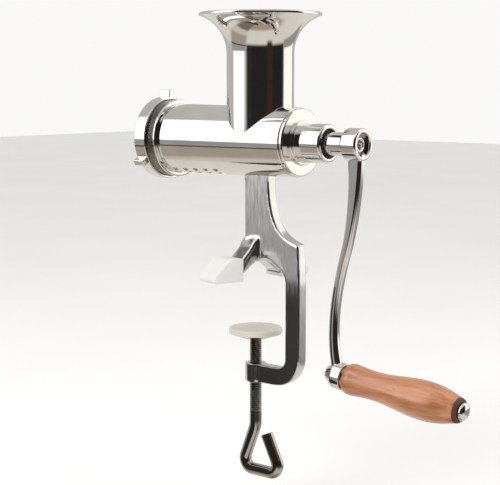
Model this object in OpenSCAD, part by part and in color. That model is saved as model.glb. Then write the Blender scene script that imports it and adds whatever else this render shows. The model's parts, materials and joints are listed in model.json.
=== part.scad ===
// Hand-cranked auger juice press that clamps to a table edge.
// Z is up, X runs along the barrel towards the crank, and the origin lies on the table top,
// on the axis of the clamp screw.

/* [Barrel] */
// Height of the barrel's axis above the table top
axis_h = 123.5; // [118:0.5:135]
// Outer radius of the barrel behind the collar
barrel_front_r = 32; // [31:0.1:33]
// Outer radius of the barrel at the rear flange
barrel_rear_r = 30.2; // [29.8:0.1:31]
// Bore radius of the barrel
barrel_bore_r = 27.6; // [27:0.1:28]
// Front face of the threaded collar
collar_front_x = -107; // [-108:0.5:-106]
// Rear face of the threaded collar
collar_rear_x = -90; // [-92:0.5:-88]
// Outer radius of the threaded collar
collar_r = 35.7; // [35:0.1:36]
// Rear face of the barrel's flange
flange_x = 48; // [47:0.5:49]
// Radius of the rear flange
flange_r = 30.5; // [30:0.1:32]

/* [Juice slots] */
// Number of slots through the barrel's underside
slot_count = 5; // [3:1:5]
// Distance between slots
slot_pitch = 12.2; // [11:0.1:12.5]
// Width of one slot along the barrel
slot_w = 5.6; // [5:0.1:7]
// Middle of the row of slots
slot_mid_x = -57.5; // [-60:0.5:-56]
// Width of the row of slots across the barrel
slot_span = 36; // [30:1:40]

/* [Feed chute] */
// Middle of the chute along the barrel
chute_x = 5.1; // [4:0.1:7]
// Outer radius of the chute
chute_r = 29.9; // [29.5:0.1:30.4]
// Wall thickness of the chute
chute_wall = 2.6; // [2:0.1:3]
// Height of the rim above the table top
rim_z = 233.6; // [222:0.2:245]
// Radius of the curve that opens the mouth
flare_r = 34.5; // [30:0.2:36]
// Angle through which the mouth curve turns
flare_angle = 73; // [60:1:75]

/* [Bearing and shaft] */
// Rear end of the bearing tube
bearing_end_x = 80.6; // [79:0.2:84]
// Outer radius of the bearing tube
bearing_r = 16.8; // [16.2:0.1:18]
// Radius of the shaft in its rear bush
shaft_r = 10; // [9.5:0.1:10.5]
// Radius of the front spigot
spigot_r = 6; // [5:0.1:7]
// Radial clearance of a running fit
running_gap = 0.06; // [0.03:0.01:0.1]

/* [Auger] */
// Outer radius of the auger's flight
flight_r = 26.1; // [25.5:0.1:26.3]
// Pitch of the auger's flight
flight_pitch = 27; // [22:1:30]

/* [Ring nut] */
// Front face of the ring nut
nut_front_x = -114.4; // [-115:0.1:-114]
// Rear face of the ring nut
nut_rear_x = -100.4; // [-101:0.1:-99]
// Outer radius of the ring nut
nut_r = 38.2; // [38:0.1:39]

/* [Crank] */
// Inner face of the crank hub
hub_x = 98; // [96:0.5:99]
// Outer face of the crank hub
hub_end_x = 115.3; // [115:0.1:116]
// Radius of the crank hub
hub_r = 14; // [13.8:0.1:15]
// Tilt of the grip below the barrel's direction
grip_tilt = 5.5; // [4:0.5:8]
// Length of the wooden grip
grip_len = 111.5; // [105:0.5:115]
// Radius of the grip spindle
spindle_r = 4; // [3.5:0.1:4.5]

/* [Pedestal and clamp] */
// Thickness of the pedestal and of the jaw
plate_t = 11.5; // [11:0.5:14]
// Inner face of the jaw, which lies against the table's edge
jaw_x = 37; // [36:0.1:40]
// Depth of the jaw's upright from its inner to its outer face
jaw_depth = 16; // [14:0.5:16]
// Underside of the jaw's lower arm
arm_bottom_z = -94.5; // [-100:0.5:-92]
// Height of the jaw's lower arm
arm_h = 16.5; // [15:0.5:19]
// Radius of the screw boss
boss_r = 9.7; // [9.4:0.1:11]
// Radius of the clamp screw
screw_r = 5.55; // [5:0.05:6]
// Top of the pressure pad, which is the thickness of the table
pad_top_z = -45; // [-50:1:-40]
// Radius of the pressure pad
pad_r = 24.1; // [22:0.1:25]

/* [Legs and boots] */
// Angle of the legs, seen from above, away from square
leg_angle = 15; // [8:1:18]
// Width of a leg
leg_w = 20; // [18:1:22]
// Width of a boot
boot_w = 25; // [24:1:27]

/* [Hidden] */
$fn = 72;
steel = "silver";

// Barrel and chute
barrel_rear_x = flange_x - 3.5;
chute_bore_r = chute_r - chute_wall;
flare_start_z = rim_z - flare_r * sin(flare_angle);

// Rear cover
end_wall_x = flange_x - 4;
cover_r = flange_r - 0.7;
cover_end_x = flange_x + 3.5;
step_end_x = cover_end_x + 2.5;
step_r = 19.6;
cover_seal_r = 25.5;
bush_x = 56;
bush_len = 14;
bush_r = 13;
seal_len = 4;
end_recess_r = 12.9;
end_recess_x = bush_x + bush_len;

// Front plate and nut
nut_lip = 3;
nut_bore_r = collar_r + running_gap;
lug_count = 3;
lug_rise = 6.8;
lug_w = 6;
plate_front_x = nut_front_x + nut_lip + 0.2;
plate_x = collar_front_x - 0.8;
pulp_port_r = 4.6;
pulp_port_ring = 17;
pulp_port_count = 6;

// Shaft and auger
auger_front_x = -104;
auger_rear_x = 42;
auger_bore_r = spigot_r;
core_front_r = 16;
core_rear_r = 10;
flight_front_x = -100;
flight_len = 130;
flight_turns = flight_len / flight_pitch;
square_w = 12;
square_end_x = hub_x + 8.4;

// Crank
hub_recess_r = 9.8;
hub_recess_x = hub_end_x - 8;
crank_drop = 199.6;
boss_x = 88;
boss_z = axis_h - crank_drop;
boss_back = -6.5;
boss_front = 11.3;
boss_back_r = 6.6;
boss_front_r = 11.8;
grip_start = boss_front + 1.6;
grip_end = grip_start + grip_len;
boss_cone_len = 8.5;
grip_bore_r = spindle_r + 0.08;
cap_r = 7.8;
arm_t = 10;

// Clamp
boss_h = arm_h + 1;
screw_bore_r = screw_r + running_gap;
pad_bottom_z = pad_top_z - 9.5;
neck_r = 4;
screw_end_z = -131;
outer_corner_r = 27;
inner_corner_r = 8;
column_left_x = -8.6;
arch_z = 17.4;
shoulder = [51.4, 34];
waist = [18.2, 92];

// Legs, as distances from the middle of the pedestal along the leg
leg_root_x = -1;
boot_in = 21;
boot_out = 52.5;
boot_h = 21.5;
toe_h = 9.5;

// Two-dimensional helpers
function unit(v) = v / norm(v);
function turn_left(v) = [-v[1], v[0]];
function bezier(a, b, c, d, t) =
    pow(1 - t, 3) * a + 3 * t * pow(1 - t, 2) * b + 3 * t * t * (1 - t) * c + pow(t, 3) * d;
function curve(a, b, c, d, steps) = [for (i = [0:steps]) bezier(a, b, c, d, i / steps)];
function arc(middle, r, from, to, steps) = [
    for (i = [0:steps])
        let (a = from + (to - from) * i / steps)
            middle + r * [cos(a), sin(a)]
];
function direction_at(line, i) =
    unit(line[min(i + 1, len(line) - 1)] - line[max(i - 1, 0)]);
function reversed(list) = [for (i = [len(list) - 1:-1:0]) list[i]];

// A solid of revolution about the barrel's axis, from x0 to x1
module x_cylinder(x0, x1, r) {
    translate([x0, 0, axis_h])
        rotate([0, 90, 0])
            cylinder(h = x1 - x0, r = r);
}

module x_cone(x0, x1, r0, r1) {
    translate([x0, 0, axis_h])
        rotate([0, 90, 0])
            cylinder(h = x1 - x0, r1 = r0, r2 = r1);
}

module x_ring(x0, x1, outer, inner) {
    difference() {
        x_cylinder(x0, x1, outer);
        x_cylinder(x0 - 1, x1 + 1, inner);
    }
}

// An outline drawn in X and Z, extruded across Y
module side_plate(thickness) {
    rotate([90, 0, 0])
        linear_extrude(height = thickness, center = true)
            children();
}

// The barrel's outside, without its collar, which other parts are cut back to
module barrel_outside() {
    x_cone(collar_rear_x, barrel_rear_x, barrel_front_r, barrel_rear_r);
}

module barrel() {
    color(steel)
        difference() {
            union() {
                barrel_outside();
                x_cylinder(barrel_rear_x, flange_x, flange_r);
            }
            x_cylinder(collar_rear_x - 1, end_wall_x, barrel_bore_r);
            x_cylinder(end_wall_x - 1, flange_x + 1, 20);
            translate([chute_x, 0, axis_h])
                cylinder(h = 100, r = chute_bore_r);
            for (i = [0:slot_count - 1])
                translate([slot_mid_x + (i - (slot_count - 1) / 2) * slot_pitch, 0, axis_h - 30])
                    cube([slot_w, slot_span, 40], center = true);
        }
}

module thread_collar() {
    color(steel)
        x_ring(collar_front_x, collar_rear_x, collar_r, barrel_bore_r);
}

// Perforated sleeve that lines the barrel over the juice slots
module juice_screen() {
    hole_r = 1.3;
    hole_pitch = 5.5;
    hole_step = 13;
    color(steel)
        difference() {
            x_ring(-88, -29, barrel_bore_r - 0.15, barrel_bore_r - 0.95);
            for (i = [-4:4], a = [-3:3])
                translate([slot_mid_x + i * hole_pitch, 0, axis_h])
                    rotate([a * hole_step, 0, 0])
                        translate([0, 0, -barrel_bore_r - 1])
                            cylinder(h = 4, r = hole_r, $fn = 16);
        }
}

// Chute wall as a half profile: radius and height
module chute_profile() {
    middle = [chute_r + flare_r, flare_start_z];
    rim = arc(middle, flare_r, 180, 180 - flare_angle, 16);
    inside = arc(middle, flare_r + chute_wall, 180 - flare_angle, 180, 16);
    polygon(concat([[chute_r, axis_h]], rim, inside, [[chute_bore_r, axis_h]]));
}

module feed_chute() {
    color(steel)
        difference() {
            translate([chute_x, 0, 0])
                rotate_extrude()
                    chute_profile();
            barrel_outside();
            x_cylinder(barrel_rear_x, flange_x, flange_r);
        }
}

module rear_cover() {
    color(steel)
        difference() {
            union() {
                x_cylinder(flange_x, cover_end_x, cover_r);
                x_cylinder(cover_end_x, step_end_x, step_r);
                x_cylinder(step_end_x, bearing_end_x, bearing_r);
            }
            x_cylinder(flange_x - 1, bearing_end_x + 1, shaft_r + 1.2);
            x_cylinder(bush_x - seal_len, end_recess_x, bush_r);
            x_cylinder(end_recess_x, bearing_end_x + 1, end_recess_r);
            x_ring(flange_x - 1, flange_x + 1.6, cover_seal_r, cover_seal_r - 2.6);
        }
}

module cover_seal() {
    color("dimgray")
        x_ring(flange_x + 0.1, flange_x + 1.6, cover_seal_r, cover_seal_r - 2.6);
}

module rear_bush() {
    color("darkgoldenrod")
        x_ring(bush_x, end_recess_x, bush_r, shaft_r + running_gap);
}

module shaft_seal() {
    color("dimgray")
        x_ring(bush_x - seal_len, bush_x, bush_r, shaft_r + 0.4);
}

// Plate outline of the pedestal: column, shoulder and the arch under it
module pedestal_outline() {
    outer = curve(shoulder, [31, 40], [19, 50], waist, 12);
    arch = curve([6, arch_z], [18, 24], [36, 13], [jaw_x, 0], 10);
    points = concat(
        [[column_left_x, 99], [column_left_x, arch_z]],
        arch,
        [[jaw_x + jaw_depth, 0]],
        outer,
        [[waist[0] + 0.3, 99]]
    );
    polygon(points);
}

// One leg's outline: distance from the mid-plane and height
leg_side = [
    [6, 36.5], [12, 28], [21, 19], [27, 15.5], [43, 11], [43, 2], [25, 2], [20, 5],
    [15, 9], [9.6, 13.2], [5, 16]
];

// Both legs in one piece, in line with each other
module legs() {
    along_leg(leg_w)
        polygon(concat(leg_side, reversed([for (p = leg_side) [-p[0], p[1]]])));
}

// Places an outline of distance and height along the right leg; the left one's distances are negative
module along_leg(width) {
    translate([leg_root_x, 0, 0])
        rotate([0, 0, 90 - leg_angle])
            side_plate(width)
                children();
}

module pedestal() {
    color(steel)
        difference() {
            union() {
                side_plate(plate_t)
                    pedestal_outline();
                legs();
            }
            barrel_outside();
        }
}

module jaw_outline() {
    right = jaw_x + jaw_depth;
    arm_top = arm_bottom_z + arm_h;
    outer_mid = [right - outer_corner_r, arm_bottom_z + outer_corner_r];
    inner_mid = [jaw_x - inner_corner_r, arm_top + inner_corner_r];
    polygon(concat(
        [[right, 0], [jaw_x, 0]],
        arc(inner_mid, inner_corner_r, 0, -90, 6),
        [[0, arm_top], [0, arm_bottom_z]],
        arc(outer_mid, outer_corner_r, -90, 0, 12)
    ));
}

module clamp_jaw() {
    color(steel)
        difference() {
            union() {
                side_plate(plate_t)
                    jaw_outline();
                translate([0, 0, arm_bottom_z - 0.5])
                    cylinder(h = boss_h, r = boss_r);
            }
            translate([0, 0, arm_bottom_z - 5])
                cylinder(h = arm_h + 10, r = screw_bore_r);
        }
}

// Slipper-shaped boot that takes the end of one leg
module boot(side) {
    color("whitesmoke")
        difference() {
            along_leg(boot_w)
                scale([side, 1])
                    polygon(concat(
                        [[boot_in, 0], [boot_out - 2, 0], [boot_out, 2]],
                        arc([boot_out - 5, toe_h - 5], 5, 0, 60, 4),
                        arc([boot_in + 11, boot_h - 10], 10, 50, 100, 4),
                        [[boot_in, boot_h - 1.2]]
                    ));
            legs();
        }
}

module left_boot() {
    boot(-1);
}

module right_boot() {
    boot(1);
}

// Front plate: bearing for the auger's spigot, with ports for the pulp
module front_plate() {
    color(steel)
        difference() {
            x_cylinder(plate_front_x, plate_x, nut_bore_r - 0.4);
            x_cylinder(plate_front_x - 1, plate_x + 1, spigot_r + running_gap);
            for (i = [0:pulp_port_count - 1])
                translate([0, 0, axis_h])
                    rotate([i * 360 / pulp_port_count, 0, 0])
                        translate([plate_front_x - 1, 0, pulp_port_ring])
                            rotate([0, 90, 0])
                                cylinder(h = 8, r = pulp_port_r, $fn = 32);
        }
}

module front_seal() {
    color("whitesmoke")
        x_ring(plate_x + 0.05, collar_front_x - 0.05, collar_r - 1.5, collar_r - 6);
}

// Ring nut with three square lugs
module ring_nut() {
    color(steel)
        difference() {
            union() {
                x_cylinder(nut_front_x, nut_rear_x, nut_r);
                for (i = [0:lug_count - 1])
                    translate([0, 0, axis_h])
                        rotate([i * 360 / lug_count, 0, 0])
                            translate([nut_front_x, -lug_w / 2, nut_r - 1])
                                cube([nut_rear_x - nut_front_x, lug_w, lug_rise + 1]);
            }
            x_cylinder(nut_front_x + nut_lip, nut_rear_x + 1, nut_bore_r);
            x_cylinder(nut_front_x - 1, nut_rear_x, 29.5);
        }
}

// Conveying screw: a tapered core with one helical flight
module auger() {
    color("lightgray")
        difference() {
            union() {
                x_cone(auger_front_x, auger_rear_x, core_front_r, core_rear_r + 2);
                translate([flight_front_x, 0, axis_h])
                    rotate([0, 90, 0])
                        linear_extrude(height = flight_len, twist = 360 * flight_turns, slices = 96, $fn = 16)
                            flight_section();
            }
            x_cylinder(auger_front_x - 1, auger_rear_x + 1, auger_bore_r);
        }
}

// The flight cut square to the axis: a sector that narrows towards its tip
module flight_section() {
    root_angle = 26;
    tip_angle = 13;
    polygon(concat(
        arc([0, 0], 9, -root_angle, root_angle, 4),
        arc([0, 0], flight_r, tip_angle, -tip_angle, 6)
    ));
}

module drive_shaft() {
    color(steel)
        difference() {
            union() {
                x_cylinder(plate_front_x, auger_rear_x, spigot_r);
                x_cylinder(auger_rear_x, hub_x, shaft_r);
                translate([hub_x, -square_w / 2, axis_h - square_w / 2])
                    cube([square_end_x - hub_x, square_w, square_w]);
            }
            x_cylinder(square_end_x - 14, square_end_x + 1, 3);
        }
}

module crank_hub() {
    color(steel)
        difference() {
            union() {
                x_cone(hub_x, hub_x + 3, hub_r - 2.6, hub_r);
                x_cylinder(hub_x + 3, hub_end_x, hub_r);
            }
            translate([hub_x - 1, -square_w / 2, axis_h - square_w / 2])
                cube([hub_recess_x - hub_x + 2, square_w, square_w]);
            x_cylinder(hub_recess_x, hub_end_x + 1, hub_recess_r);
        }
}

// Middle line of the crank arm, as X and Z, from the hub down to the grip boss
function arm_middle() = concat(
    curve([108.2, axis_h - 8], [108.6, 80], [104, 48], [96.5, 24], 12),
    [for (i = [1:14]) bezier([96.5, 24], [87.5, -9], [83.5, -42], [91, -71], i / 14)]
);
function arm_half_w(t) = 3.9 + 3.2 * pow(1 - t, 4) + 1.2 * pow(t, 5);
module arm_outline() {
    line = arm_middle();
    last = len(line) - 1;
    left = [for (i = [0:last]) line[i] + arm_half_w(i / last) * turn_left(direction_at(line, i))];
    right = [for (i = [0:last]) line[i] - arm_half_w(i / last) * turn_left(direction_at(line, i))];
    tip = line[last] + arm_half_w(1) * direction_at(line, last);
    polygon(concat(left, [tip], reversed(right)));
}

// The arm stops at the hub and at the boss that takes the grip's spindle
module crank_arm() {
    color(steel)
        difference() {
            side_plate(arm_t)
                arm_outline();
            x_cylinder(hub_x - 2, hub_end_x + 2, hub_r);
            on_grip_axis()
                boss_solid();
        }
}

// The grip's axis leaves the boss towards +X, tilted down
module on_grip_axis() {
    translate([boss_x, 0, boss_z])
        rotate([0, 90 + grip_tilt, 0])
            children();
}

// Cone and cylinder at the arm's lower end
module boss_solid() {
    translate([0, 0, boss_back])
        cylinder(h = boss_cone_len, r1 = boss_back_r, r2 = boss_front_r);
    translate([0, 0, boss_back + boss_cone_len])
        cylinder(h = boss_front - boss_back - boss_cone_len, r = boss_front_r);
}

module grip_boss() {
    color(steel)
        on_grip_axis()
            difference() {
                boss_solid();
                translate([0, 0, boss_back - 1])
                    cylinder(h = 40, r = spindle_r);
            }
}

module hub_washer() {
    color(steel)
        x_ring(hub_recess_x, hub_recess_x + 1.2, 9, 3.2);
}

module hub_screw() {
    head_x = hub_recess_x + 1.2;
    color("gray")
        difference() {
            union() {
                x_cylinder(head_x, head_x + 3.4, 6.5);
                x_cylinder(square_end_x - 12, head_x, 3);
            }
            translate([head_x + 1, 0, axis_h])
                rotate([0, 90, 0])
                    cylinder(h = 6, r = 2.9, $fn = 6);
        }
}

module grip_spindle() {
    color(steel)
        on_grip_axis()
            translate([0, 0, boss_back + 1])
                cylinder(h = grip_end + 3.2 - boss_back - 1, r = spindle_r);
}

module inner_washer() {
    color("gray")
        on_grip_axis()
            difference() {
                translate([0, 0, boss_front])
                    cylinder(h = 1, r = 9);
                translate([0, 0, boss_front - 1])
                    cylinder(h = 4, r = spindle_r);
            }
}

// Domed nut on the spindle's end
module grip_cap() {
    color(steel)
        on_grip_axis()
            difference() {
                translate([0, 0, grip_end + 1.2])
                    rotate_extrude()
                        polygon(concat(
                            [[0, 0], [cap_r - 0.8, 0], [cap_r, 0.8], [cap_r, 2.2]],
                            [for (a = [10:20:90]) [cap_r * cos(a), 2.2 + 3 * sin(a)]]
                        ));
                translate([0, 0, grip_end])
                    cylinder(h = 3.2, r = spindle_r);
            }
}

// Radius of the turned grip at a distance from its inner face
function grip_r(s) = lookup(s, [
    [0, 10.7], [5, 13.6], [12, 13.3], [22, 12.5], [33, 12.4], [43, 13.1], [56, 14.9], [68, 16.3],
    [78, 16.7], [88, 16.1], [98, 14.3], [105, 12.2], [109, 11]
]);

module wooden_grip() {
    body_len = grip_len - 2.5;
    steps = 30;
    color("peru")
        on_grip_axis()
            translate([0, 0, grip_start])
                difference() {
                    rotate_extrude()
                        polygon(concat(
                            [[0, 0]],
                            [for (i = [0:steps]) [grip_r(body_len * i / steps), body_len * i / steps]],
                            [[0, body_len]]
                        ));
                    translate([0, 0, -1])
                        cylinder(h = grip_len + 2, r = grip_bore_r);
                }
}

// Dark fibre washer between the grip and its cap
module outer_washer() {
    color("saddlebrown")
        on_grip_axis()
            difference() {
                translate([0, 0, grip_end - 2.5])
                    cylinder(h = 3.5, r1 = 11, r2 = 9.6);
                translate([0, 0, grip_end - 4])
                    cylinder(h = 8, r = grip_bore_r);
            }
}

// Steel cup that turns on the screw's neck
module pad_cup() {
    color(steel)
        difference() {
            union() {
                translate([0, 0, pad_bottom_z])
                    cylinder(h = 4, r1 = 12, r2 = pad_r - 1.5);
                translate([0, 0, pad_bottom_z + 4])
                    cylinder(h = 1.5, r = pad_r - 1.5);
            }
            translate([0, 0, pad_bottom_z - 1])
                cylinder(h = 8, r = neck_r + running_gap);
        }
}

module pad_cover() {
    color("whitesmoke")
        difference() {
            translate([0, 0, pad_bottom_z + 4])
                cylinder(h = pad_top_z - pad_bottom_z - 4, r = pad_r);
            translate([0, 0, pad_bottom_z + 3])
                cylinder(h = 2.5, r = pad_r - 1.5);
            translate([0, 0, pad_bottom_z + 5])
                cylinder(h = 2.6, r = 8);
        }
}

// Middle line of a rod with round bends, from its corner points and bend radii
function bend_points(before, corner, after, r, steps) =
    let (
        u = unit(corner - before),
        v = unit(after - corner),
        turn = acos(u * v),
        side = u[0] * v[1] - u[1] * v[0] > 0 ? 1 : -1,
        middle = corner - u * r * tan(turn / 2) + side * r * turn_left(u),
        from = atan2(-side * u[0], side * u[1])
    )
    arc(middle, r, from, from + side * turn, steps);

function rounded_line(points, bends, steps) =
    let (last = len(points) - 1)
    [
        points[0],
        for (i = [1:last - 1])
            each bend_points(points[i - 1], points[i], points[i + 1], bends[i - 1], steps),
        points[last]
    ];

// Round rod swept along a line that lies in the plane of X and Z
module swept_rod(line, r, sides) {
    last = len(line) - 1;
    points = [
        for (i = [0:last], k = [0:sides - 1])
            let (
                n = turn_left(direction_at(line, i)),
                a = 360 * k / sides
            )
            [line[i][0] + r * cos(a) * n[0], r * sin(a), line[i][1] + r * cos(a) * n[1]]
    ];
    walls = [
        for (i = [0:last - 1], k = [0:sides - 1])
            let (j = (k + 1) % sides)
            [i * sides + k, i * sides + j, (i + 1) * sides + j, (i + 1) * sides + k]
    ];
    polyhedron(
        points,
        concat(
            [[for (k = [sides - 1:-1:0]) k]],
            walls,
            [[for (k = [0:sides - 1]) last * sides + k]]
        )
    );
}

// Screw, neck and the triangular loop that is bent from the same rod
module clamp_screw() {
    corners = [[0, screw_end_z + 1], [0, -136.5], [-16, -178.2], [30.2, -178.2], [12.8, -142.5]];
    bends = [26, 9, 8];
    color(steel) {
        swept_rod(rounded_line(corners, bends, 8), screw_r - 0.02, 20);
        translate([0, 0, screw_end_z])
            cylinder(h = pad_bottom_z - 0.2 - screw_end_z, r = screw_r);
        translate([0, 0, pad_bottom_z - 1])
            cylinder(h = 8, r = neck_r);
    }
}

// Spring clip that holds the cup on the screw's neck
module pad_clip() {
    color("gray")
        translate([0, 0, pad_bottom_z + 5.7])
            difference() {
                cylinder(h = 1, r = 6.5);
                translate([0, 0, -1])
                    cylinder(h = 3, r = neck_r);
            }
}

barrel();
thread_collar();
juice_screen();
feed_chute();
rear_cover();
cover_seal();
rear_bush();
shaft_seal();
pedestal();
clamp_jaw();
left_boot();
right_boot();
front_plate();
front_seal();
ring_nut();
auger();
drive_shaft();
crank_hub();
crank_arm();
grip_boss();
hub_washer();
hub_screw();
grip_spindle();
grip_cap();
inner_washer();
wooden_grip();
outer_washer();
pad_cup();
pad_cover();
clamp_screw();
pad_clip();
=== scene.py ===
import json
import math

import bmesh
import bpy
from mathutils import Matrix, Vector


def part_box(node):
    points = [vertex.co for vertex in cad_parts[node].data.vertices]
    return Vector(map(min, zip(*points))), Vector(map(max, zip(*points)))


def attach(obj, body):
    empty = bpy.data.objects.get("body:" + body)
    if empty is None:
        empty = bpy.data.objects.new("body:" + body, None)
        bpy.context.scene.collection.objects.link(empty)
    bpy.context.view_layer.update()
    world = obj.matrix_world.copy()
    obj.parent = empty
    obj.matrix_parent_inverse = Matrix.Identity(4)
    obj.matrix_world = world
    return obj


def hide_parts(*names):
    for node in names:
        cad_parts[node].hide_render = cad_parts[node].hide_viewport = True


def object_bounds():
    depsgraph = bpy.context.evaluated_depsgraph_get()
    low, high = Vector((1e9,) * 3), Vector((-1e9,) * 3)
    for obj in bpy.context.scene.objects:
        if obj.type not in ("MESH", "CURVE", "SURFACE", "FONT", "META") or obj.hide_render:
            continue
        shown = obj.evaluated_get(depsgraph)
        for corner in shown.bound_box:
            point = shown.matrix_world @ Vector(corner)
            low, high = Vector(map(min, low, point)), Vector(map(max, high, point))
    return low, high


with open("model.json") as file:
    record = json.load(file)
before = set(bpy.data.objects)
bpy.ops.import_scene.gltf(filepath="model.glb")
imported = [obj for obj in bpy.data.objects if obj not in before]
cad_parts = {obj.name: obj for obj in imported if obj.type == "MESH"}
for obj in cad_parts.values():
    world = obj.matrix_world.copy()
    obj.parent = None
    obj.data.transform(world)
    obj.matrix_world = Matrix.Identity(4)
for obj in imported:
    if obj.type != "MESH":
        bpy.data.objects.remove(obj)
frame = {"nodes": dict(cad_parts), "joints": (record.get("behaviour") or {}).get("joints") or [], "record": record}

MM = 0.001
cad_low, cad_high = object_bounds()
joints = {j["name"]: j for j in frame["joints"]}


def span(node, axis):
    """Lowest and highest value of a CAD node along one axis, in millimetres."""
    low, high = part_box(node)
    return low[axis] / MM, high[axis] / MM


AXIS_Z = sum(span("thread_collar", 2)) / 2


# ---------------------------------------------------------------- mesh helpers
def new_object(name, verts, faces, smooth_angle=35):
    mesh = bpy.data.meshes.new(name)
    mesh.from_pydata([Vector(v) * MM for v in verts], [], faces)
    mesh.validate()
    work = bmesh.new()
    work.from_mesh(mesh)
    bmesh.ops.remove_doubles(work, verts=work.verts, dist=1e-7)
    bmesh.ops.recalc_face_normals(work, faces=work.faces)
    work.to_mesh(mesh)
    work.free()
    obj = bpy.data.objects.new(name, mesh)
    bpy.context.scene.collection.objects.link(obj)
    shade(obj, smooth_angle)
    return obj


def shade(obj, angle=35):
    obj.data.polygons.foreach_set("use_smooth", [True] * len(obj.data.polygons))
    obj.data.set_sharp_from_angle(angle=math.radians(angle))
    weighted = obj.modifiers.new("even_normals", "WEIGHTED_NORMAL")
    weighted.keep_sharp = True


def apply_modifiers(obj):
    bpy.context.view_layer.update()
    graph = bpy.context.evaluated_depsgraph_get()
    mesh = bpy.data.meshes.new_from_object(obj.evaluated_get(graph))
    obj.modifiers.clear()
    obj.data = mesh
    return obj


def fillet(points, steps=6):
    """Closed outline of (x, y, radius) corners, with each corner rounded."""
    out = []
    count = len(points)
    for i, (x, y, radius) in enumerate(points):
        corner = Vector((x, y))
        before = Vector(points[i - 1][:2])
        after = Vector(points[(i + 1) % count][:2])
        u = (corner - before).normalized()
        v = (after - corner).normalized()
        turn = math.atan2(u.x * v.y - u.y * v.x, u.dot(v))
        if radius <= 0 or abs(turn) < 1e-3:
            out.append((x, y))
            continue
        reach = radius * math.tan(abs(turn) / 2)
        start = corner - u * reach
        side = 1 if turn > 0 else -1
        middle = start + Vector((-u.y, u.x)) * radius * side
        arm = start - middle
        for k in range(steps + 1):
            a = turn * k / steps
            out.append((
                middle.x + arm.x * math.cos(a) - arm.y * math.sin(a),
                middle.y + arm.x * math.sin(a) + arm.y * math.cos(a),
            ))
    return out


def on_axis(origin, direction):
    """Matrix in millimetres that lays local Z along a direction."""
    turn = Vector((0, 0, 1)).rotation_difference(Vector(direction))
    return Matrix.Translation(Vector(origin)) @ turn.to_matrix().to_4x4()


BARREL_AXIS = on_axis((0, 0, AXIS_Z), (1, 0, 0))
SCREW_AXIS = Matrix.Identity(4)
grip_at = Vector(joints["grip_spin"]["pos_m"]) / MM
grip_direction = Vector(joints["grip_spin"]["axis"]).normalized()
GRIP_AXIS = on_axis(grip_at, grip_direction)


def lathe(name, outline, place, steps=144, smooth_angle=35):
    """Closed outline of (distance along the axis, radius), turned about the axis."""
    verts, faces = [], []
    count = len(outline)
    for j in range(steps):
        a = 2 * math.pi * j / steps
        for along, radius in outline:
            verts.append(place @ Vector((radius * math.cos(a), radius * math.sin(a), along)))
    for j in range(steps):
        k = (j + 1) % steps
        for i in range(count):
            n = (i + 1) % count
            if outline[i][1] < 1e-6 and outline[n][1] < 1e-6:
                continue
            faces.append((j * count + i, j * count + n, k * count + n, k * count + i))
    return new_object(name, verts, faces, smooth_angle)


def sweep(name, rings, smooth_angle=50):
    """Skin over closed rings of points, capped at both ends."""
    count = len(rings[0])
    verts = [p for ring in rings for p in ring]
    faces = []
    for j in range(len(rings) - 1):
        for i in range(count):
            n = (i + 1) % count
            faces.append((j * count + i, j * count + n, (j + 1) * count + n, (j + 1) * count + i))
    faces.append(tuple(reversed(range(count))))
    faces.append(tuple(range((len(rings) - 1) * count, len(rings) * count)))
    return new_object(name, verts, faces, smooth_angle)


def cut(obj, tool):
    """Takes the tool's volume out of the piece."""
    boolean = obj.modifiers.new("cut", "BOOLEAN")
    boolean.operation = "DIFFERENCE"
    boolean.solver = "EXACT"
    boolean.object = tool
    apply_modifiers(obj)
    bpy.data.objects.remove(tool)
    shade(obj)
    return obj


def joined(name, objects):
    """One mesh from several objects."""
    work = bmesh.new()
    for o in objects:
        copy = o.data.copy()
        copy.transform(o.matrix_world)
        work.from_mesh(copy)
        bpy.data.meshes.remove(copy)
    mesh = bpy.data.meshes.new(name)
    work.to_mesh(mesh)
    work.free()
    obj = bpy.data.objects.new(name, mesh)
    bpy.context.scene.collection.objects.link(obj)
    return obj


def soften(obj, voxel, passes, amount=lambda p: 1.0):
    """Turns a sharp solid into a cast or moulded one with round edges and fillets."""
    remesh = obj.modifiers.new("remesh", "REMESH")
    remesh.mode = "VOXEL"
    remesh.voxel_size = voxel * MM
    apply_modifiers(obj)
    work = bmesh.new()
    work.from_mesh(obj.data)
    for i in range(passes):
        chosen = [v for v in work.verts if i < passes * amount(v.co / MM)]
        bmesh.ops.smooth_vert(
            work, verts=chosen, factor=0.5, use_axis_x=True, use_axis_y=True, use_axis_z=True
        )
    work.to_mesh(obj.data)
    work.free()
    obj.data.polygons.foreach_set("use_smooth", [True] * len(obj.data.polygons))
    return obj


def box_mesh(low, high):
    (x0, y0, z0), (x1, y1, z1) = low, high
    verts = [(x, y, z) for x in (x0, x1) for y in (y0, y1) for z in (z0, z1)]
    faces = [(0, 1, 3, 2), (4, 6, 7, 5), (0, 4, 5, 1), (2, 3, 7, 6), (0, 2, 6, 4), (1, 5, 7, 3)]
    return new_object("tool", verts, faces)


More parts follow.
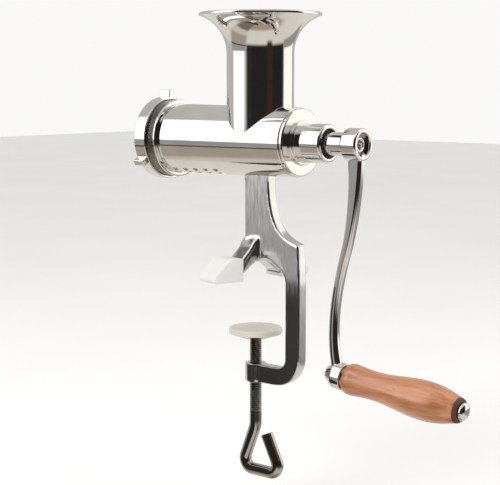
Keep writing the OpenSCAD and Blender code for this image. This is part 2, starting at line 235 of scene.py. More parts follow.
# ---------------------------------------------------------------- materials
class Look:
    """A material and the shorthand for wiring its nodes."""

    def __init__(self, name):
        self.material = bpy.data.materials.new(name)
        self.material.use_nodes = True
        self.tree = self.material.node_tree
        self.shader = self.tree.nodes["Principled BSDF"]
        self.coordinates = self.tree.nodes.new("ShaderNodeTexCoord").outputs["Object"]

    def set(self, **values):
        for key, value in values.items():
            self.shader.inputs[key.replace("_", " ")].default_value = value
        return self

    def node(self, kind, **settings):
        made = self.tree.nodes.new(kind)
        for key, value in settings.items():
            setattr(made, key, value)
        return made

    def link(self, a, b):
        self.tree.links.new(a, b)

    def mapped(self, scale=(1, 1, 1), rotation=(0, 0, 0)):
        mapping = self.node("ShaderNodeMapping")
        mapping.inputs["Scale"].default_value = scale
        mapping.inputs["Rotation"].default_value = rotation
        self.link(self.coordinates, mapping.inputs["Vector"])
        return mapping.outputs["Vector"]

    def noise(self, scale, detail=3, stretch=(1, 1, 1), rotation=(0, 0, 0), rough=0.5):
        made = self.node("ShaderNodeTexNoise")
        made.inputs["Scale"].default_value = scale
        made.inputs["Detail"].default_value = detail
        made.inputs["Roughness"].default_value = rough
        self.link(self.mapped(stretch, rotation), made.inputs["Vector"])
        return made.outputs["Fac"]

    def ramp(self, value, stops):
        made = self.node("ShaderNodeValToRGB")
        elements = made.color_ramp.elements
        while len(elements) < len(stops):
            elements.new(0.5)
        for element, (place, colour) in zip(elements, stops):
            element.position = place
            element.color = (*colour, 1)
        self.link(value, made.inputs["Fac"])
        return made.outputs["Color"]

    def spread(self, value, low, high, start=0.3, end=0.7):
        made = self.node("ShaderNodeMapRange")
        for name, number in (("From Min", start), ("From Max", end), ("To Min", low), ("To Max", high)):
            made.inputs[name].default_value = number
        self.link(value, made.inputs["Value"])
        return made.outputs["Result"]

    def bump(self, value, strength, distance):
        made = self.node("ShaderNodeBump")
        made.inputs["Strength"].default_value = strength
        made.inputs["Distance"].default_value = distance * MM
        self.link(value, made.inputs["Height"])
        last = self.shader.inputs["Normal"].links
        if last:
            self.link(last[0].from_socket, made.inputs["Normal"])
        self.link(made.outputs["Normal"], self.shader.inputs["Normal"])


def steel(name, tone, rough, stretch=(1, 1, 1), ripple=0.02, streak=0.0):
    """Stainless steel: a tone, a roughness range, faint waves and hairline polishing marks."""
    look = Look(name)
    look.set(Metallic=1.0)
    cloud = look.noise(38, 4)
    bright = tuple(c * 1.03 for c in tone)
    dull = tuple(c * 0.93 for c in tone)
    look.link(look.ramp(cloud, [(0.3, dull), (0.7, bright)]), look.shader.inputs["Base Color"])
    hair = look.noise(900, 2, stretch)
    look.link(look.spread(hair, rough[0], rough[1]), look.shader.inputs["Roughness"])
    look.bump(look.noise(26, 2), ripple, 1.0)
    if streak:
        look.bump(hair, streak, 0.05)
    return look.material


def plastic(name, tone, rough, grain, bump, stain=0.92):
    look = Look(name)
    worn = tuple(c * stain for c in tone)
    look.link(
        look.ramp(look.noise(30, 5), [(0.35, worn), (0.65, tone)]), look.shader.inputs["Base Color"]
    )
    look.link(look.spread(look.noise(120, 3), rough[0], rough[1]), look.shader.inputs["Roughness"])
    look.bump(look.noise(grain, 2), bump, 0.15)
    return look.material


def wood(name):
    """Varnished beech: long grain along the grip, short dark flecks and a glossy coat."""
    look = Look(name)
    turn = (0, -math.asin(max(-1, min(1, grip_direction.z))), 0)
    warp = look.noise(14, 3, (0.25, 1, 1), turn)
    grain = look.noise(210, 5, (0.05, 1, 1), turn, 0.6)
    fleck = look.noise(640, 2, (0.07, 1, 1), turn)
    colour = look.ramp(grain, [
        (0.30, (0.30, 0.098, 0.032)), (0.46, (0.46, 0.175, 0.064)),
        (0.58, (0.55, 0.225, 0.086)), (0.75, (0.63, 0.28, 0.115)),
    ])
    shift = look.ramp(warp, [(0.3, (0.80, 0.76, 0.72)), (0.7, (1.0, 1.0, 1.0))])
    dark = look.ramp(fleck, [(0.24, (0.45, 0.38, 0.34)), (0.34, (1, 1, 1))])
    for extra in (shift, dark):
        mix = look.node("ShaderNodeMix", data_type="RGBA", blend_type="MULTIPLY")
        mix.inputs["Factor"].default_value = 1.0
        look.link(colour, mix.inputs["A"])
        look.link(extra, mix.inputs["B"])
        colour = mix.outputs["Result"]
    look.link(colour, look.shader.inputs["Base Color"])
    look.link(look.spread(grain, 0.30, 0.44), look.shader.inputs["Roughness"])
    look.set(Coat_Weight=1.0, Coat_Roughness=0.20, Coat_IOR=1.65)
    look.bump(grain, 0.10, 0.12)
    look.bump(fleck, 0.08, 0.08)
    return look.material


CHROME_TONE = (0.80, 0.785, 0.765)
polish = steel("polished_steel", CHROME_TONE, (0.035, 0.085))
polish_cast = steel("polished_casting", (0.74, 0.74, 0.74), (0.10, 0.22), (1, 1, 0.08), 0.06, 0.02)
satin_disc = steel("satin_cover", (0.86, 0.84, 0.80), (0.14, 0.26), (1, 1, 1), 0.02, 0.02)
cast_look = steel("cast_steel", (0.62, 0.61, 0.60), (0.22, 0.36), (1, 1, 1), 0.05, 0.05)
rod_look = steel("drawn_rod", (0.50, 0.475, 0.44), (0.10, 0.20), (1, 1, 0.1), 0.03, 0.02)
# Dark steel for the collar's threaded band: painted shade of the thread grooves.
painted_thread_band_shade = steel("painted_collar_thread_shade", (0.30, 0.285, 0.265), (0.22, 0.34), (1, 1, 1), 0.03, 0.03)
# Near-black steel for the screw's thread grooves: painted shade in the groove roots.
painted_groove_shade = steel("painted_thread_root_shade", (0.10, 0.085, 0.070), (0.35, 0.5), (1, 1, 1), 0.03, 0.03)
recess_look = steel("turned_recess", (0.86, 0.84, 0.81), (0.42, 0.55), (1, 1, 1), 0.02, 0.03)
black_rubber = plastic("black_rubber", (0.02, 0.02, 0.02), (0.45, 0.6), 700, 0.15)
white_rubber = plastic("white_rubber", (0.77, 0.765, 0.74), (0.42, 0.58), 420, 0.12, 0.95)
pad_look = plastic("pad_plastic", (0.66, 0.62, 0.55), (0.38, 0.5), 380, 0.10)
fibre_look = plastic("fibre_washer", (0.085, 0.030, 0.018), (0.4, 0.55), 900, 0.25)
grip_look = wood("varnished_beech")


def finish_piece(obj, look, slot, body, *nodes):
    """Gives a piece its material and its body, and hides the CAD nodes it stands for."""
    obj.data.materials.clear()
    obj.data.materials.append(look)
    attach(obj, body)
    if nodes:
        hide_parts(*nodes)
    return obj


# ---------------------------------------------------------------- barrel and chute
collar_x0, collar_x1 = span("thread_collar", 0)
flange_x1 = span("barrel", 0)[1]
BARREL_R0 = span("barrel", 1)[1]
BARREL_R1 = 30.2
FLANGE_R = 30.5
BORE_R = 27.6
CHUTE_X = sum(span("feed_chute", 0)) / 2
CHUTE_R = 29.9
CHUTE_WALL = 2.6
END_WALL = 4
FLANGE_LENGTH = 3.5
END_HOLE_R = 20
SLOT_HALF_WIDTH = 2.8
SLOT_HALF_SPAN = 18
THREAD_PITCH = 1.5
THREAD_DEPTH = 0.7
FLARE_RADIUS = 34.5
FLARE_TURN = math.radians(73)
FLARE_TOP_Z = 233.6
CHUTE_STEPS = 176


def build_barrel():
    """Tapered tube with a rear flange, the chute's opening above and the juice slots below."""
    flange_x0 = flange_x1 - FLANGE_LENGTH
    wall_x0 = flange_x1 - END_WALL
    start_x = collar_x1 - 1.0
    outline = fillet([
        (start_x, BARREL_R0, 0), (flange_x0, BARREL_R1, 0.1), (flange_x0 + 0.3, FLANGE_R, 0.2),
        (flange_x1, FLANGE_R, 0.9), (flange_x1, END_HOLE_R, 0.3), (wall_x0, END_HOLE_R, 0.3),
        (wall_x0, BORE_R, 0.5), (start_x, BORE_R, 0),
    ])
    barrel = lathe("barrel_tube", outline, BARREL_AXIS)
    chute = lathe(
        "tool", [(0, 0), (0, CHUTE_R - CHUTE_WALL), (100, CHUTE_R - CHUTE_WALL), (100, 0)],
        Matrix.Translation((CHUTE_X, 0, AXIS_Z))
    )
    cut(barrel, chute)
    for box in frame["record"]["physics"]["openings"]:
        if not box["name"].startswith("juice_slot"):
            continue
        low, high = box["box_m"]
        middle = (low[0] + high[0]) / 2 / MM
        cut(barrel, box_mesh(
            (middle - SLOT_HALF_WIDTH, -SLOT_HALF_SPAN, AXIS_Z - 50),
            (middle + SLOT_HALF_WIDTH, SLOT_HALF_SPAN, AXIS_Z - 10),
        ))
    finish_piece(barrel, polish, "polished_steel", "body", "barrel")


def build_collar():
    """Collar with the fine thread that the ring nut runs on, and a bright rear lip."""
    collar_r = span("thread_collar", 1)[1]
    lip_x = collar_x1 - 2.6
    root_r = collar_r - THREAD_DEPTH
    crest_r = collar_r - 0.05
    outline = [(collar_x0, BORE_R), (collar_x0, root_r)]
    x = collar_x0 + 0.2
    while x + THREAD_PITCH < lip_x - 0.4:
        outline += [(x + 0.15, root_r), (x + 0.6, crest_r), (x + 0.85, crest_r), (x + 1.3, root_r)]
        x += THREAD_PITCH
    outline += [
        (lip_x - 0.2, root_r), (lip_x, collar_r - 0.6), (lip_x + 0.5, collar_r),
        (collar_x1 - 0.8, collar_r), (collar_x1 - 0.2, collar_r - 0.3), (collar_x1, collar_r - 0.9),
        (collar_x1, BARREL_R0 + 0.6), (collar_x1 - 0.3, BARREL_R0), (collar_x1 - 0.3, BORE_R),
    ]
    collar = lathe("threaded_collar", outline, BARREL_AXIS, smooth_angle=25)
    finish_piece(collar, polish, "polished_steel", "body", "thread_collar")
    # The threaded band takes the dark steel as painted shade; the rear lip keeps the polished steel.
    collar.data.materials.append(painted_thread_band_shade)
    for face in collar.data.polygons:
        if face.center.x / MM < lip_x - 0.1:
            face.material_index = 1


def build_chute():
    """Straight tube that opens into a flared mouth, trimmed to the barrel's bore."""
    rim_z = span("feed_chute", 2)[1]
    rim_r = span("feed_chute", 1)[1]
    arc_radius = CHUTE_R + FLARE_RADIUS
    arc_z = FLARE_TOP_Z - FLARE_RADIUS * math.sin(FLARE_TURN)
    steps = 26

    def flare(radius):
        """Quarter-like arc from the straight tube out to the rim, as (height, radius) points."""
        return [
            (arc_z + radius * math.sin(FLARE_TURN * k / steps),
             arc_radius - radius * math.cos(FLARE_TURN * k / steps))
            for k in range(steps + 1)
        ]

    outside = flare(FLARE_RADIUS)
    inside = flare(FLARE_RADIUS + CHUTE_WALL)[::-1]
    lip_low, lip_high = outside.pop(), inside.pop(0)
    lip = [
        (lip_low[0] - 0.2, min(rim_r - 0.5, lip_low[1] - 0.35)), (lip_low[0], rim_r - 0.12),
        (lip_low[0] + 0.5, rim_r), (lip_high[0] - 0.9, rim_r - 0.15), (lip_high[0] - 0.25, rim_r - 0.8),
        (min(rim_z, lip_high[0]), lip_high[1] - 0.3),
    ]
    outline = [(AXIS_Z + 3, CHUTE_R)] + outside + lip + inside + [(AXIS_Z + 3, CHUTE_R - CHUTE_WALL)]
    chute = lathe("flared_chute", outline, Matrix.Translation((CHUTE_X, 0, 0)), CHUTE_STEPS)
    reach = 200
    bore_outline = [(-reach, 0), (-reach, BORE_R + 1), (reach, BORE_R + 1), (reach, 0)]
    bore = lathe("tool", bore_outline, BARREL_AXIS, CHUTE_STEPS)
    cut(chute, bore)
    finish_piece(chute, polish, "polished_steel", "body", "feed_chute")


# ---------------------------------------------------------------- rear cover, shaft and hub
def build_cover():
    """Cover disc, its step and the bearing tube with a rounded end."""
    end_x = span("rear_cover", 0)[1]
    cover_r = span("rear_cover", 1)[1]
    disc_x = flange_x1 + 3.5
    step_x = disc_x + 2.5
    outline = fillet([
        (flange_x1 + 0.15, cover_r - 0.5, 0.1), (flange_x1 + 0.6, cover_r, 0.4), (disc_x, cover_r, 1.4),
        (disc_x, 19.6, 0.5), (step_x, 19.6, 0.9), (step_x, 16.8, 0.7), (end_x, 16.8, 2.0),
        (end_x, 12.9, 0.8), (end_x - 10.6, 12.9, 0), (end_x - 10.6, 11.2, 0), (flange_x1 + 0.15, 11.2, 0),
    ])
    cover = lathe("bearing_cover", outline, BARREL_AXIS)
    finish_piece(cover, polish, "polished_steel", "body", "rear_cover")
    cover.data.materials.append(recess_look)
    for face in cover.data.polygons:
        middle = face.center / MM
        if math.hypot(middle.y, middle.z - AXIS_Z) < 13.1:
            face.material_index = 1


def build_hub():
    """Crank hub with its end recess, and the socket screw that sits in it."""
    x0, x1 = span("crank_hub", 0)
    outer = span("crank_hub", 1)[1]
    outline = fillet([
        (x0, outer - 2.6, 0.6), (x0 + 3, outer, 1.6), (x1, outer, 1.8), (x1, 9.8, 1.2),
        (x1 - 8, 9.8, 0.4), (x1 - 8, 5.9, 0), (x0, 5.9, 0),
    ])
    finish_piece(lathe("hub_ring", outline, BARREL_AXIS), polish, "polished_steel", "crank", "crank_hub")
    head0, head1 = x1 - 6.8, x1 - 3.4
    head = lathe("hub_screw_head", fillet([
        (head0 - 9, 0, 0), (head0 - 9, 3, 0.2), (head0, 3, 0),
        (head0, 6.5, 0.2), (head1, 6.5, 0.9), (head1, 0, 0),
    ]), BARREL_AXIS, 72)
    socket_outline = [(head1 - 2.4, 0), (head1 - 2.4, 2.9), (head1 + 2, 2.9), (head1 + 2, 0)]
    socket = lathe("tool", socket_outline, BARREL_AXIS, 6)
    cut(head, socket)
    finish_piece(head, satin_disc, "screw_steel", "crank", "hub_screw")


def build_shaft():
    x0, x1 = span("drive_shaft", 0)
    auger_end = span("auger", 0)[1]
    hub_x0 = span("crank_hub", 0)[0]
    outline = fillet([
        (x0, 0, 0), (x0, 6, 0.8), (auger_end, 6, 0), (auger_end, 10, 0.4), (hub_x0 + 0.6, 10, 0),
        (hub_x0 + 0.6, 5.6, 0), (x1, 5.6, 0.3), (x1, 0, 0),
    ])
    finish_piece(lathe("shaft_bar", outline, BARREL_AXIS), polish, "polished_steel", "crank", "drive_shaft")


# ---------------------------------------------------------------- ring nut and front plate
NUT_R = 38.2
LUGS = 3
PORTS = 6
PORT_RING_R = 17
PORT_R = 4.6


def build_nut():
    """Ring nut with a turned-in mouth and three lugs."""
    x0, x1 = span("ring_nut", 0)
    outer = NUT_R
    lug_top = span("ring_nut", 2)[1] - AXIS_Z
    outline = fillet([
        (x0, outer - 0.2, 1.5), (x1, outer, 0.8), (x1, 36.0, 0.3), (x0 + 3.2, 36.0, 0.2),
        (x0 + 3.2, 29.5, 0.3), (x0, 29.5, 1.0),
    ])
    parts = [lathe("nut_ring", outline, BARREL_AXIS, 192)]
    root = outer - 1.5
    half = 3.0
    bevel = 0.8
    corners = fillet([(-half, root, 0), (half, root, 0), (half, lug_top, 1.0), (-half, lug_top, 1.0)], 4)
    stations = (
        (x0 + 1.0, 1.0), (x0 + 1.3, 0.4), (x0 + 2.0, 0.0),
        (x1 - 1.2, 0.0), (x1 - 0.6, 0.4), (x1 - 0.3, 1.0),
    )
    for i in range(LUGS):
        turn = Matrix.Rotation(2 * math.pi * i / LUGS, 3, "X")
        rings = []
        for x, inset in stations:
            shrink_y = (half - inset * bevel) / half
            shrink_z = 1 - inset * bevel / (lug_top - root)
            rings.append([
                turn @ Vector((x, y * shrink_y, root + (z - root) * shrink_z)) + Vector((0, 0, AXIS_Z))
                for y, z in corners
            ])
        parts.append(sweep("lug", rings))
    nut = joined("ring_nut_with_lugs", parts)
    for part in parts:
        bpy.data.objects.remove(part)
    shade(nut)
    finish_piece(nut, polish, "polished_steel", "nut", "ring_nut")


def build_front_plate():
    """Disc with a ring of round pulp ports."""
    x0, x1 = span("front_plate", 0)
    outer = span("front_plate", 1)[1]
    outline = fillet([(x0, outer, 0.5), (x1, outer, 0.3), (x1, 6.1, 0.3), (x0, 6.1, 0.6)])
    plate = lathe("end_plate_disc", outline, BARREL_AXIS)
    port = [(x0 - 2, 0), (x0 - 2, PORT_R), (x1 + 2, PORT_R), (x1 + 2, 0)]
    for i in range(PORTS):
        a = 2 * math.pi * i / PORTS
        centre = (0, -PORT_RING_R * math.sin(a), AXIS_Z + PORT_RING_R * math.cos(a))
        cut(plate, lathe("tool", port, on_axis(centre, (1, 0, 0)), 48))
    finish_piece(plate, satin_disc, "polished_steel", "end_plate", "front_plate")


# ---------------------------------------------------------------- crank
def bezier(a, b, c, d, t):
    a, b, c, d = (Vector(p) for p in (a, b, c, d))
    return a * (1 - t) ** 3 + b * 3 * t * (1 - t) ** 2 + c * 3 * t * t * (1 - t) + d * t ** 3


def squared(angle, power):
    """Cosine and sine of an angle, squared off towards a box as the power falls below 1."""
    c, s = math.cos(angle), math.sin(angle)
    return math.copysign(abs(c) ** power, c), math.copysign(abs(s) ** power, s)


def sideways(before, after):
    """Unit vectors along a flat path and across it."""
    along = (after - before).normalized()
    return along, Vector((-along.y, along.x))


def build_arm():
    """S-shaped arm: bevelled and square at the hub, oval further down, with a round tip."""
    upper = ((108.2, AXIS_Z - 8), (108.6, 80), (104, 48), (96.5, 24))
    lower = ((96.5, 24), (87.5, -9), (83.5, -42), (91, -71))
    line = [bezier(*upper, k / 30) for k in range(30)] + [bezier(*lower, k / 40) for k in range(41)]
    last = len(line) - 1
    sides = 40
    angles = [2 * math.pi * k / sides for k in range(sides)]
    rings = []

    def add_ring(centre, across, half_x, half_y, power):
        ring = []
        for angle in angles:
            u, w = squared(angle, power)
            spot = centre + across * (u * half_x)
            ring.append(Vector((spot.x, w * half_y, spot.y)))
        rings.append(ring)

    for i, point in enumerate(line):
        t = i / last
        across = sideways(line[max(i - 1, 0)], line[min(i + 1, last)])[1]
        half_x = 3.9 + 3.2 * (1 - t) ** 4 + 1.2 * t ** 5
        half_y = 5.0 - 0.5 * math.sin(math.pi * t)
        power = 2 / (2.3 + 1.3 * max(0.0, 1 - t * 3))
        add_ring(point, across, half_x, half_y, power)
    along, across = sideways(line[last - 1], line[last])
    tip_length = 4.6
    for k in range(1, 8):
        a = math.pi / 2 * k / 7.4
        add_ring(line[last] + along * tip_length * math.sin(a), across,
                 5.1 * math.cos(a), 5.0 * math.cos(a), 2 / 2.3)
    finish_piece(sweep("s_arm", rings), polish, "polished_steel", "crank", "crank_arm")


def along_grip(node):
    """First and last distance of a CAD node along the grip's axis, in millimetres."""
    reach = [(v.co / MM - grip_at).dot(grip_direction) for v in frame["nodes"][node].data.vertices]
    return min(reach), max(reach)


def build_boss():
    s0, s1 = along_grip("grip_boss")
    outline = fillet([
        (s0, 0, 0), (s0, 6.6, 1.5), (s0 + 8.5, 11.8, 2.5), (s1, 11.8, 0.6), (s1, 0, 0),
    ])
    finish_piece(lathe("grip_socket", outline, GRIP_AXIS), polish, "polished_steel", "crank", "grip_boss")


GRIP_PROFILE = [
    (0, 10.7), (5, 13.6), (12, 13.3), (22, 12.5), (33, 12.4), (43, 13.1), (56, 14.9), (68, 16.3),
    (78, 16.7), (88, 16.1), (98, 14.3), (105, 12.2), (109, 11),
]


def grip_radius(s):
    """Smooth curve through the turned profile."""
    points = GRIP_PROFILE
    i = max(k for k in range(len(points) - 1) if points[k][0] <= s + 1e-9 or k == 0)
    p = [points[max(0, min(len(points) - 1, i + k))] for k in (-1, 0, 1, 2)]
    t = (s - p[1][0]) / (p[2][0] - p[1][0])
    m1 = (p[2][1] - p[0][1]) / max(1e-6, p[2][0] - p[0][0]) * (p[2][0] - p[1][0])
    m2 = (p[3][1] - p[1][1]) / max(1e-6, p[3][0] - p[1][0]) * (p[2][0] - p[1][0])
    if i == 0:
        m1 = 2.2 * (p[2][1] - p[1][1])
        m2 = 0.0
    h = 2 * t ** 3 - 3 * t * t + 1, t ** 3 - 2 * t * t + t, -2 * t ** 3 + 3 * t * t, t ** 3 - t * t
    return h[0] * p[1][1] + h[1] * m1 + h[2] * p[2][1] + h[3] * m2


def build_grip():
    s0, s1 = along_grip("wooden_grip")
    length = s1 - s0
    steps = 90
    outline = [(s0, 4.1), (s0, grip_radius(0) - 0.5), (s0 + 0.12, grip_radius(0) - 0.15)]
    for k in range(1, steps):
        s = length * k / steps
        outline.append((s0 + s, min(16.7, grip_radius(min(s, 108.9)))))
    outline += [(s1 - 0.2, 10.7), (s1, 10.3), (s1, 4.1)]
    wood_body = lathe("turned_grip", outline, GRIP_AXIS, 128)
    finish_piece(wood_body, grip_look, "grip_wood", "grip", "wooden_grip")
    w0, w1 = along_grip("outer_washer")
    washer = fillet([(w0, 4.1, 0), (w0, 11.0, 0.3), (w0 + 1.4, 10.8, 0.5), (w1, 9.6, 0.8), (w1, 4.1, 0)])
    finish_piece(lathe("end_ring", washer, GRIP_AXIS, 96), fibre_look, "fibre", "grip", "outer_washer")
    c0, c1 = along_grip("grip_cap")
    dome = [(c0, 0), (c0, 7.0), (c0 + 0.3, 7.6), (c0 + 0.8, 7.8), (c0 + 1.8, 7.8)]
    height = c1 - c0 - 1.8
    dome += [
        (c0 + 1.8 + height * math.sin(math.pi / 2 * k / 12), 7.8 * math.cos(math.pi / 2 * k / 12))
        for k in range(1, 13)
    ]
    dome[-1] = (c1, 0)
    finish_piece(lathe("domed_cap", dome, GRIP_AXIS, 96), polish, "polished_steel", "crank", "grip_cap")


# ---------------------------------------------------------------- casting, boots and clamp
def build_casting():
    """Pedestal, legs and jaw as the one smooth casting that they are on the real object."""
    column_x0 = -8.6
    top = span("pedestal", 2)[1]
    neck = box_mesh((column_x0, -5.75, top - 8), (18.4, 5.75, AXIS_Z - BORE_R - 1.2))
    body = joined("casting", [frame["nodes"]["pedestal"], frame["nodes"]["clamp_jaw"], neck])
    bpy.data.objects.remove(neck)

    def amount(p):
        if p.z > top - 4.5:
            return 0.0
        if abs(p.y) > 6.5 and p.z > 0:
            return 1.0
        if math.hypot(p.x, p.y) < 9 and p.z < -70:
            return 0.12
        return 0.45

    soften(body, 0.8, 26, amount)
    finish_piece(body, polish_cast, "polished_steel", "body", "pedestal", "clamp_jaw")


def build_boots():
    for side in ("left", "right"):
        node = side + "_boot"
        boot = joined(side + "_foot_cover", [frame["nodes"][node]])
        soften(boot, 0.7, 9)
        finish_piece(boot, white_rubber, "boot_rubber", "body", node)


ROD_R = 5.55
ROD_PITCH = 25.4 / 14
THREAD_END = -121.0
LOOP_CORNERS = [(0, -136.5), (-16, -178.2), (30.2, -178.2), (12.8, -142.5)]
LOOP_BENDS = [26, 9, 8]


def bend(before, corner, after, radius, steps=24):
    """Points of the arc that rounds one corner of the loop."""
    u, v = (corner - before).normalized(), (after - corner).normalized()
    turn = math.atan2(u.x * v.y - u.y * v.x, u.dot(v))
    start = corner - u * radius * math.tan(abs(turn) / 2)
    middle = start + Vector((-u.y, u.x)) * radius * (1 if turn > 0 else -1)
    arm = start - middle
    arc = []
    for k in range(steps + 1):
        a = turn * k / steps
        arc.append(middle + Vector((
            arm.x * math.cos(a) - arm.y * math.sin(a), arm.x * math.sin(a) + arm.y * math.cos(a)
        )))
    return arc


def build_screw():
    """Threaded rod whose lower end is bent into a loop."""
    z1 = span("pad_cup", 2)[0] - 0.2
    fade_length = 1.5
    step = 0.22
    line = [(Vector((0, z1)), 0.0)]
    z = z1 - step
    while z > THREAD_END - fade_length:
        line.append((Vector((0, z)), z))
        z -= step
    points = [Vector((0, z))] + [Vector(c) for c in LOOP_CORNERS]
    line.append((points[0], None))
    for i, radius in enumerate(LOOP_BENDS):
        line += [(p, None) for p in bend(points[i], points[i + 1], points[i + 2], radius)]
    line.append((points[-1], None))
    sides = 36
    turns = [k / sides for k in range(sides)]

    def ring(point, across, radii):
        made = []
        for turn, r in zip(turns, radii):
            a = 2 * math.pi * turn
            spot = point + across * r * math.cos(a)
            made.append(Vector((spot.x, r * math.sin(a), spot.y)))
        return made

    def thread_radius(level, turn):
        """Radius at a height and a fraction of a turn, in the helical groove or on its crest."""
        phase = (level / ROD_PITCH - turn) % 1.0
        groove = max(0.0, 1 - abs(phase - 0.5) * 2.6)
        fade = min(1.0, max(0.0, (level - THREAD_END + fade_length) / 2.0))
        return ROD_R - 1.05 * groove * fade

    rings = []
    last = len(line) - 1
    for i, (point, level) in enumerate(line):
        along, across = sideways(line[max(i - 1, 0)][0], line[min(i + 1, last)][0])
        radii = [ROD_R if level is None else thread_radius(level, turn) for turn in turns]
        rings.append(ring(point, across, radii))
    bevel, end_length = 0.35, 0.5
    end = line[last][0]
    rings[-1] = ring(end - along * end_length, across, [ROD_R] * sides)
    rings.append(ring(end, across, [ROD_R - bevel] * sides))
    rod = sweep("rod", rings, 40)
    neck_top = span("clamp_screw", 2)[1]
    neck_outline = fillet([(z1 - 1, 0, 0), (z1 - 1, 4, 0), (neck_top, 4, 0.5), (neck_top, 0, 0)])
    neck = lathe("neck", neck_outline, SCREW_AXIS, 48)
    screw = joined("screw_with_loop", [rod, neck])
    bpy.data.objects.remove(rod)
    bpy.data.objects.remove(neck)
    shade(screw, 40)
    finish_piece(screw, rod_look, "screw_steel", "screw", "clamp_screw")
    # Faces down in the thread grooves take the near-black steel as painted shade.
    screw.data.materials.append(painted_groove_shade)
    for face in screw.data.polygons:
        middle = face.center / MM
        if middle.z > THREAD_END - 1 and 4.2 < math.hypot(middle.x, middle.y) < 5.15:
            face.material_index = 1


def build_pad():
    z0, z1 = span("pad_cover", 2)
    outer = span("pad_cover", 0)[1]
    cover = fillet([
        (z0, outer - 1.5, 0), (z0, outer, 0.8), (z1, outer, 1.6), (z1, 0, 0), (z1 - 2, 0, 0),
        (z1 - 2, 8, 0), (z0 + 1.6, 8, 0), (z0 + 1.6, outer - 1.5, 0),
    ])
    finish_piece(lathe("pad_disc", cover, SCREW_AXIS), pad_look, "pad_plastic", "pad", "pad_cover")
    z0, z1 = span("pad_cup", 2)
    cup_r = span("pad_cup", 0)[1]
    cup = fillet([(z0, 4.1, 0), (z0, 12, 1.2), (z0 + 4, cup_r, 0.8), (z1, cup_r, 0), (z1, 4.1, 0)])
    finish_piece(lathe("pad_dish", cup, SCREW_AXIS), rod_look, "screw_steel", "pad", "pad_cup")


build_barrel()
build_collar()
build_chute()
build_cover()
build_hub()
build_shaft()
build_nut()
build_front_plate()
build_arm()
build_boss()
build_grip()
build_casting()
build_boots()
build_screw()
build_pad()

CARRIED_OVER = {
    "juice_screen": satin_disc,
    "cover_seal": black_rubber,
    "rear_bush": recess_look,
    "shaft_seal": black_rubber,
    "front_seal": white_rubber,
    "auger": cast_look,
    "hub_washer": rod_look,
    "grip_spindle": rod_look,
    "inner_washer": rod_look,
    "pad_clip": rod_look,
}
for node, look in CARRIED_OVER.items():
    data = frame["nodes"][node].data
    data.materials.clear()
    data.materials.append(look)

# ---------------------------------------------------------------- camera
CAMERA_AZIMUTH = 38.85
CAMERA_PITCH = 7.35
CAMERA_DISTANCE = 1.13
AIM = Vector((-0.0012, -0.0068, 0.0328))
a, p = math.radians(CAMERA_AZIMUTH), math.radians(CAMERA_PITCH)
forward = Vector((-math.sin(a) * math.cos(p), math.cos(a) * math.cos(p), -math.sin(p)))
camera_data = bpy.data.cameras.new("camera")
camera_data.lens = 90.72
camera_data.sensor_width = 36
camera_data.clip_end = 30
camera = bpy.data.objects.new("camera", camera_data)
camera.location = AIM - forward * CAMERA_DISTANCE
camera.rotation_euler = forward.to_track_quat("-Z", "Y").to_euler()
bpy.context.scene.collection.objects.link(camera)
bpy.context.scene.camera = camera

# ---------------------------------------------------------------- studio
scene = bpy.context.scene
scene.view_settings.view_transform = "Standard"


SCREW_DROP = 0.0225


def build_floor():
    size, z = 6.0, cad_low[2] - SCREW_DROP
    corners = [(-size, -size, z), (size, -size, z), (size, size, z), (-size, size, z)]
    mesh = bpy.data.meshes.new("floor")
    mesh.from_pydata(corners, [], [(0, 1, 2, 3)])
    floor = bpy.data.objects.new("floor", mesh)
    scene.collection.objects.link(floor)
    look = Look("pale_floor")
    look.link(
        look.ramp(look.noise(3, 2), [(0.3, (0.88, 0.875, 0.86)), (0.7, (0.91, 0.905, 0.895))]),
        look.shader.inputs["Base Color"],
    )
    look.set(Roughness=0.8)
    mesh.materials.append(look.material)
    floor.visible_glossy = False


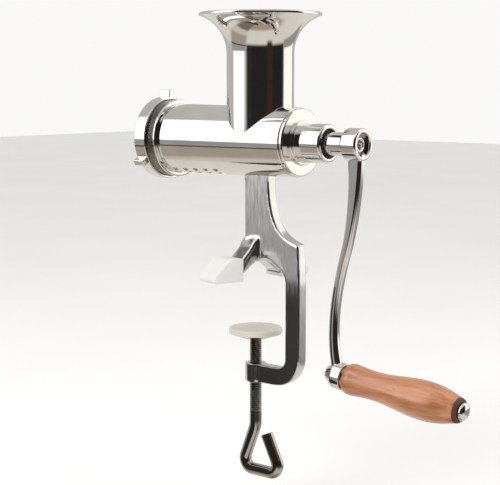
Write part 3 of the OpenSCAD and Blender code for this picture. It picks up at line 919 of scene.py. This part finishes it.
def build_world():
    """Studio seen in the steel: soft boxes left and right, a dark room ahead and a warm floor."""
    world = bpy.data.worlds.new("studio")
    scene.world = world
    world.use_nodes = True
    tree = world.node_tree
    tree.nodes.clear()

    def node(kind, **settings):
        made = tree.nodes.new(kind)
        for key, value in settings.items():
            setattr(made, key, value)
        return made

    def math_node(operation, first, second=None):
        made = node("ShaderNodeMath", operation=operation)
        for socket, value in zip(made.inputs, (first, second)):
            if value is None:
                continue
            if isinstance(value, (int, float)):
                socket.default_value = value
            else:
                tree.links.new(value, socket)
        return made.outputs[0]

    direction = node("ShaderNodeTexCoord").outputs["Generated"]
    split = node("ShaderNodeSeparateXYZ")
    tree.links.new(direction, split.inputs[0])
    x, y, z = split.outputs
    to_camera = -forward
    ahead = math_node("ADD", math_node("MULTIPLY", x, to_camera.x), math_node("MULTIPLY", y, to_camera.y))
    right = math_node("ADD", math_node("MULTIPLY", x, -to_camera.y), math_node("MULTIPLY", y, to_camera.x))
    swing = math_node("MULTIPLY", math_node("ARCTAN2", right, ahead), 180 / math.pi)
    level = math_node("MULTIPLY", math_node("ARCSINE", z), 180 / math.pi)

    def step(value, edge, soft):
        made = node("ShaderNodeMapRange", interpolation_type="SMOOTHSTEP")
        made.inputs["From Min"].default_value = edge - soft
        made.inputs["From Max"].default_value = edge + soft
        tree.links.new(value, made.inputs["Value"])
        return made.outputs["Result"]

    def window(value, low, high, soft):
        below_high = math_node("SUBTRACT", 1.0, step(value, high, soft))
        return math_node("MULTIPLY", step(value, low, soft), below_high)

    def paint(under, colour, swings, levels, soft):
        mask = math_node("MULTIPLY", window(swing, *swings, soft[0]), window(level, *levels, soft[1]))
        mix = node("ShaderNodeMix", data_type="RGBA")
        tree.links.new(mask, mix.inputs["Factor"])
        if isinstance(under, tuple):
            mix.inputs["A"].default_value = (*under, 1)
        else:
            tree.links.new(under, mix.inputs["A"])
        mix.inputs["B"].default_value = (*colour, 1)
        return mix.outputs["Result"]

    everywhere = (-400, 400)
    colour = (0.70, 0.685, 0.67)
    colour = paint(colour, (0.56, 0.545, 0.53), (-182, -103), (-12, 60), (1, 4))
    colour = paint(colour, (0.56, 0.545, 0.53), (134, 182), (-12, 60), (2, 4))
    colour = paint(colour, (0.80, 0.78, 0.76), everywhere, (58, 100), (2, 8))
    colour = paint(colour, (0.80, 0.755, 0.69), everywhere, (-64, -15), (2, 2.5))
    colour = paint(colour, (0.42, 0.34, 0.25), everywhere, (-100, -62), (2, 6))
    colour = paint(colour, (0.028, 0.027, 0.027), (-50, 84), (-20, 42), (5, 6))
    colour = paint(colour, (0.020, 0.018, 0.017), (-30, 80), (-14, 36), (6, 3))
    colour = paint(colour, (0.050, 0.021, 0.013), (22, 40), (-30, 30), (5, 8))
    colour = paint(colour, (0.42, 0.36, 0.30), (-112, -50), (-46, -13), (7, 2))
    colour = paint(colour, (0.075, 0.062, 0.052), (-112, -50), (-18, -15), (5, 1))
    colour = paint(colour, (0.66, 0.61, 0.54), (-112, -50), (-54, -42), (5, 4))
    colour = paint(colour, (0.22, 0.18, 0.14), (-112, -50), (-100, -56), (5, 4))
    colour = paint(colour, (0.36, 0.35, 0.345), (-112, -50), (-14, -2.5), (5, 1.2))
    colour = paint(colour, (1.9, 1.87, 1.82), (-103, -58), (-2.5, 62), (3.5, 1.2))
    colour = paint(colour, (0.34, 0.33, 0.32), (84, 150), (-26, -8), (3, 3))
    colour = paint(colour, (1.30, 1.26, 1.19), (87, 134), (-8.5, 60), (2.5, 2.5))

    glossy = node("ShaderNodeBackground")
    tree.links.new(colour, glossy.inputs["Color"])
    plain = node("ShaderNodeBackground")
    plain.inputs["Color"].default_value = (0.95, 0.945, 0.935, 1)
    soft = node("ShaderNodeBackground")
    soft.inputs["Color"].default_value = (0.80, 0.79, 0.78, 1)
    soft.inputs["Strength"].default_value = 1.05
    path = node("ShaderNodeLightPath")
    first = node("ShaderNodeMixShader")
    tree.links.new(path.outputs["Is Glossy Ray"], first.inputs["Fac"])
    tree.links.new(soft.outputs[0], first.inputs[1])
    tree.links.new(glossy.outputs[0], first.inputs[2])
    second = node("ShaderNodeMixShader")
    tree.links.new(path.outputs["Is Camera Ray"], second.inputs["Fac"])
    tree.links.new(first.outputs[0], second.inputs[1])
    tree.links.new(plain.outputs[0], second.inputs[2])
    tree.links.new(second.outputs[0], node("ShaderNodeOutputWorld").inputs["Surface"])


def shade_card():
    """Painted shade: a dark card, seen only in the polished steel, standing in for the dark room under the table
    edge.
    """
    middle = Vector((-0.035, -0.066, 0))
    across = Vector((0.075, -0.012, 0))
    bottom, top = -0.21, -0.012
    corners = ((-1, bottom), (1, bottom), (1, top), (-1, top))
    verts = [middle + across * side + Vector((0, 0, z)) for side, z in corners]
    mesh = bpy.data.meshes.new("shade_card")
    mesh.from_pydata(verts, [], [(0, 1, 2, 3)])
    card = bpy.data.objects.new("shade_card", mesh)
    scene.collection.objects.link(card)
    look = Look("painted_under_table_shade")
    emission = look.node("ShaderNodeEmission")
    # Near-black emission with faint noise: the painted shade.
    stops = [(0.35, (0.020, 0.018, 0.016)), (0.65, (0.060, 0.055, 0.05))]
    colour = look.ramp(look.noise(9, 2, (1, 1, 0.4)), stops)
    look.link(colour, emission.inputs["Color"])
    output = next(n for n in look.tree.nodes if n.type == "OUTPUT_MATERIAL")
    look.link(emission.outputs[0], output.inputs["Surface"])
    mesh.materials.append(look.material)
    for setting in ("visible_camera", "visible_diffuse", "visible_shadow", "visible_transmission"):
        setattr(card, setting, False)


def area_light(name, place, aim, size, power, colour=(1, 1, 1), glossy=True):
    data = bpy.data.lights.new(name, "AREA")
    data.shape = "RECTANGLE"
    data.size, data.size_y = size
    data.energy = power
    data.color = colour
    light = bpy.data.objects.new(name, data)
    light.location = place
    light.rotation_euler = (Vector(aim) - Vector(place)).to_track_quat("-Z", "Y").to_euler()
    light.visible_glossy = glossy
    scene.collection.objects.link(light)


build_floor()
build_world()
shade_card()
area_light("key", (-0.3, -1.2, 1.5), (0.05, 0, 0), (1.0, 1.0), 16, (1, 0.985, 0.96), False)
area_light("fill", (1.3, 0.4, 1.0), (0.05, 0, 0), (1.0, 1.0), 8, (1, 0.98, 0.95), False)
